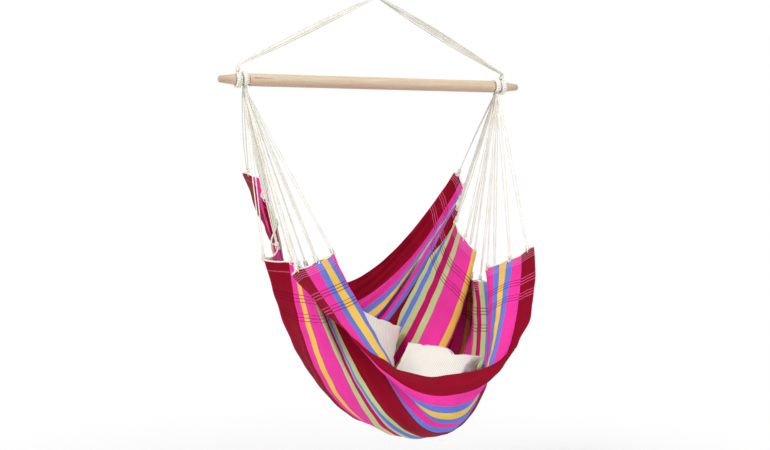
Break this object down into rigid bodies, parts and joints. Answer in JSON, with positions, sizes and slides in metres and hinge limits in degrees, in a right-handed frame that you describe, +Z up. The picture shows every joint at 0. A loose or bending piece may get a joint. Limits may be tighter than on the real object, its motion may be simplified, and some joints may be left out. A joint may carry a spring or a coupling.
{
  "type": "hammock chair",
  "caption": "Hanging cloth chair on a wooden spreader bar, with cord fans to the seat, a cord bridle up to a steel ring, and two loose cushions.",
  "frame": {"origin": "the point inside the top of the steel ring where a hook carries the chair", "axes": "+Z up; +X along the spreader bar towards the sitter's left hand; -Y towards the open front of the seat, which the sitter faces"},
  "size_m": [1.09, 0.842, 1.5624],
  "materials": {
    "ring_steel": "zinc plated, satin",
    "bar_wood": "pale beech, matt, with fine grain",
    "cotton_cord": "undyed twisted cotton cord",
    "striped_cloth": "woven cotton in warp stripes of burgundy, pinks, blue, yellow and sage green",
    "cushion_cloth": "cream ribbed cotton"
  },
  "bodies": {
    "ring": {"hanging_ring": "ring_steel"},
    "top_loop": {"top_eye": "cotton_cord", "top_eye_whipping": "cotton_cord"},
    "throat_knot": {"throat": "cotton_cord", "throat_whipping": "cotton_cord"},
    "bridle": {"left_bridle_strand_1": "cotton_cord", "left_bridle_strand_2": "cotton_cord", "left_bridle_strand_3": "cotton_cord", "left_bridle_strand_4": "cotton_cord", "right_bridle_strand_1": "cotton_cord", "right_bridle_strand_2": "cotton_cord", "right_bridle_strand_3": "cotton_cord", "right_bridle_strand_4": "cotton_cord", "left_bridle_eye": "cotton_cord", "left_bridle_eye_whipping": "cotton_cord", "right_bridle_eye": "cotton_cord", "right_bridle_eye_whipping": "cotton_cord"},
    "bar": {"spreader_bar": "bar_wood"},
    "seat": {"seat_cloth": "striped_cloth", "left_fan_eye": "cotton_cord", "left_fan_eye_whipping": "cotton_cord", "right_fan_eye": "cotton_cord", "right_fan_eye_whipping": "cotton_cord", "left_edging_cord": "cotton_cord", "right_edging_cord": "cotton_cord", "left_fan_cord_01": "cotton_cord", "left_fan_cord_02": "cotton_cord", "left_fan_cord_03": "cotton_cord", "left_fan_cord_04": "cotton_cord", "left_fan_cord_05": "cotton_cord", "left_fan_cord_06": "cotton_cord", "left_fan_cord_07": "cotton_cord", "left_fan_cord_08": "cotton_cord", "left_fan_cord_09": "cotton_cord", "left_fan_cord_10": "cotton_cord", "left_fan_cord_11": "cotton_cord", "left_fan_cord_12": "cotton_cord", "left_fan_cord_13": "cotton_cord", "left_fan_cord_14": "cotton_cord", "right_fan_cord_01": "cotton_cord", "right_fan_cord_02": "cotton_cord", "right_fan_cord_03": "cotton_cord", "right_fan_cord_04": "cotton_cord", "right_fan_cord_05": "cotton_cord", "right_fan_cord_06": "cotton_cord", "right_fan_cord_07": "cotton_cord", "right_fan_cord_08": "cotton_cord", "right_fan_cord_09": "cotton_cord", "right_fan_cord_10": "cotton_cord", "right_fan_cord_11": "cotton_cord", "right_fan_cord_12": "cotton_cord", "right_fan_cord_13": "cotton_cord", "right_fan_cord_14": "cotton_cord"},
    "left_pillow": {"left_cushion": "cushion_cloth"},
    "right_pillow": {"right_cushion": "cushion_cloth"}
  },
  "joints": [
    {"name": "fore_aft_swing", "type": "hinge", "parent": "ring", "child": "top_loop", "pos_m": [0, 0, -0.046], "axis": [1, 0, 0], "range_deg": [-25, 25]},
    {"name": "side_swing", "type": "hinge", "parent": "top_loop", "child": "throat_knot", "pos_m": [0, 0, -0.0989], "axis": [0, 1, 0], "range_deg": [-15, 15]},
    {"name": "swivel", "type": "hinge", "parent": "throat_knot", "child": "bridle", "pos_m": [0, 0, -0.139], "axis": [0, 0, 1], "range_deg": [-180, 180]},
    {"name": "bar_roll", "type": "hinge", "parent": "bridle", "child": "bar", "pos_m": [0, 0, -0.4289], "axis": [1, 0, 0], "continuous": true},
    {"name": "seat_tilt", "type": "hinge", "parent": "bridle", "child": "seat", "pos_m": [0, 0, -0.4289], "axis": [1, 0, 0], "range_deg": [-20, 20]},
    {"name": "left_cushion_lift", "type": "slide", "parent": "seat", "child": "left_pillow", "axis": [0, 0.3304, 0.9439], "range_m": [0, 0.3]},
    {"name": "right_cushion_lift", "type": "slide", "parent": "seat", "child": "right_pillow", "axis": [-0.1952, -0.0976, 0.9759], "range_m": [0, 0.3]}
  ]
}
